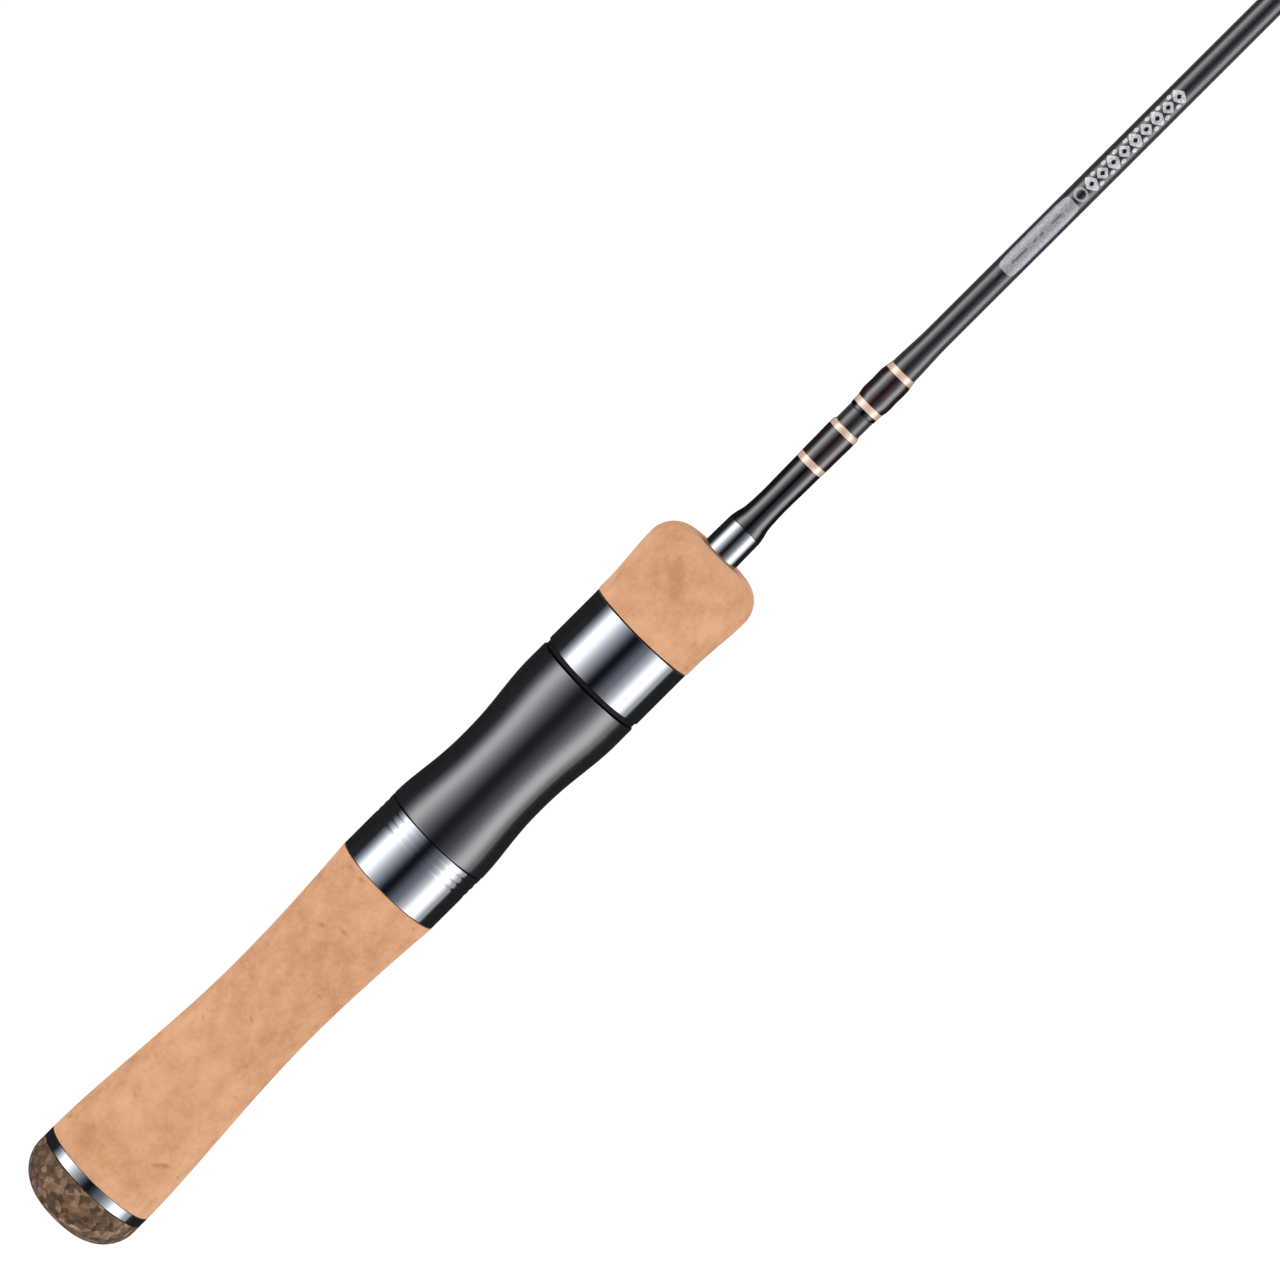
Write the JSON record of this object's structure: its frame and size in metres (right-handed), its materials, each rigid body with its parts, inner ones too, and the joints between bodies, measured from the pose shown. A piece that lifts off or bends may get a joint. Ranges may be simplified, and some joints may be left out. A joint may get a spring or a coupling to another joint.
{
  "type": "ice fishing rod",
  "caption": "Short spinning rod for ice fishing: waisted cork grip, black reel seat with bright hoods, cork locking knob, and a tapered tip section with ring guides.",
  "frame": {"origin": "centre of the flat on the butt end", "axes": "+X along the rod from butt to tip, +Z away from the reel, so the reel foot's bed and the guides are on the -Z side"},
  "size_m": [0.7151, 0.026, 0.0346],
  "materials": {
    "rubber_cork": "ground cork bound with dark rubber, sanded",
    "cork": "natural cork, turned and sanded",
    "bright_metal": "polished and clear anodised, mirror bright",
    "black_nylon": "glass-filled nylon, gloss black lacquer",
    "arbor_foam": "rigid foam reel-seat arbor",
    "carbon_blank": "graphite composite under clear gloss",
    "black_winding": "black thread under clear epoxy",
    "maroon_winding": "dark maroon-brown thread under clear epoxy",
    "copper_trim": "metallic copper-pink trim thread under clear epoxy",
    "guide_metal": "polished stainless frame",
    "guide_ceramic": "polished dark ceramic ring"
  },
  "bodies": {
    "handle": {"butt_cap": "rubber_cork", "butt_trim_ring": "bright_metal", "ferrule_trim_1": "copper_trim", "ferrule_trim_2": "copper_trim", "ferrule_winding_rear": "maroon_winding", "grip_winding": "black_winding", "handle_blank": "carbon_blank", "rear_grip": "cork", "rear_hood": "bright_metal", "reel_seat_body": "black_nylon", "seat_arbor_front": "arbor_foam", "seat_arbor_rear": "arbor_foam", "winding_check": "bright_metal"},
    "sliding_hood": {"moving_hood": "bright_metal", "hood_liner": "black_nylon"},
    "locking_knob": {"locking_nut": "black_nylon", "fore_grip": "cork"},
    "tip_section": {"ferrule_collar": "bright_metal", "ferrule_trim_3": "copper_trim", "ferrule_trim_4": "copper_trim", "ferrule_winding_front": "maroon_winding", "guide_frame_1": "guide_metal", "guide_frame_2": "guide_metal", "guide_frame_3": "guide_metal", "guide_frame_4": "guide_metal", "guide_frame_5": "guide_metal", "guide_ring_1": "guide_ceramic", "guide_ring_2": "guide_ceramic", "guide_ring_3": "guide_ceramic", "guide_ring_4": "guide_ceramic", "guide_ring_5": "guide_ceramic", "guide_winding_1": "maroon_winding", "guide_winding_2": "maroon_winding", "guide_winding_3": "maroon_winding", "guide_winding_4": "maroon_winding", "guide_winding_5": "maroon_winding", "tip_blank": "carbon_blank", "tip_top_frame": "guide_metal", "tip_top_ring": "guide_ceramic", "tip_winding": "maroon_winding"}
  },
  "joints": [
    {"name": "hood_slide", "type": "slide", "parent": "handle", "child": "sliding_hood", "axis": [1, 0, 0], "range_m": [0, 0.008]},
    {"name": "knob_spin", "type": "hinge", "parent": "sliding_hood", "child": "locking_knob", "pos_m": [0.1731, 0, 0], "axis": [1, 0, 0], "range_deg": [0, 1154]},
    {"name": "tip_pull", "type": "slide", "parent": "handle", "child": "tip_section", "axis": [1, 0, 0], "range_m": [0, 0.05]}
  ],
  "couplings": [
    {"joint": "knob_spin", "follows": "hood_slide", "rad_per_m": 2513.3}
  ]
}
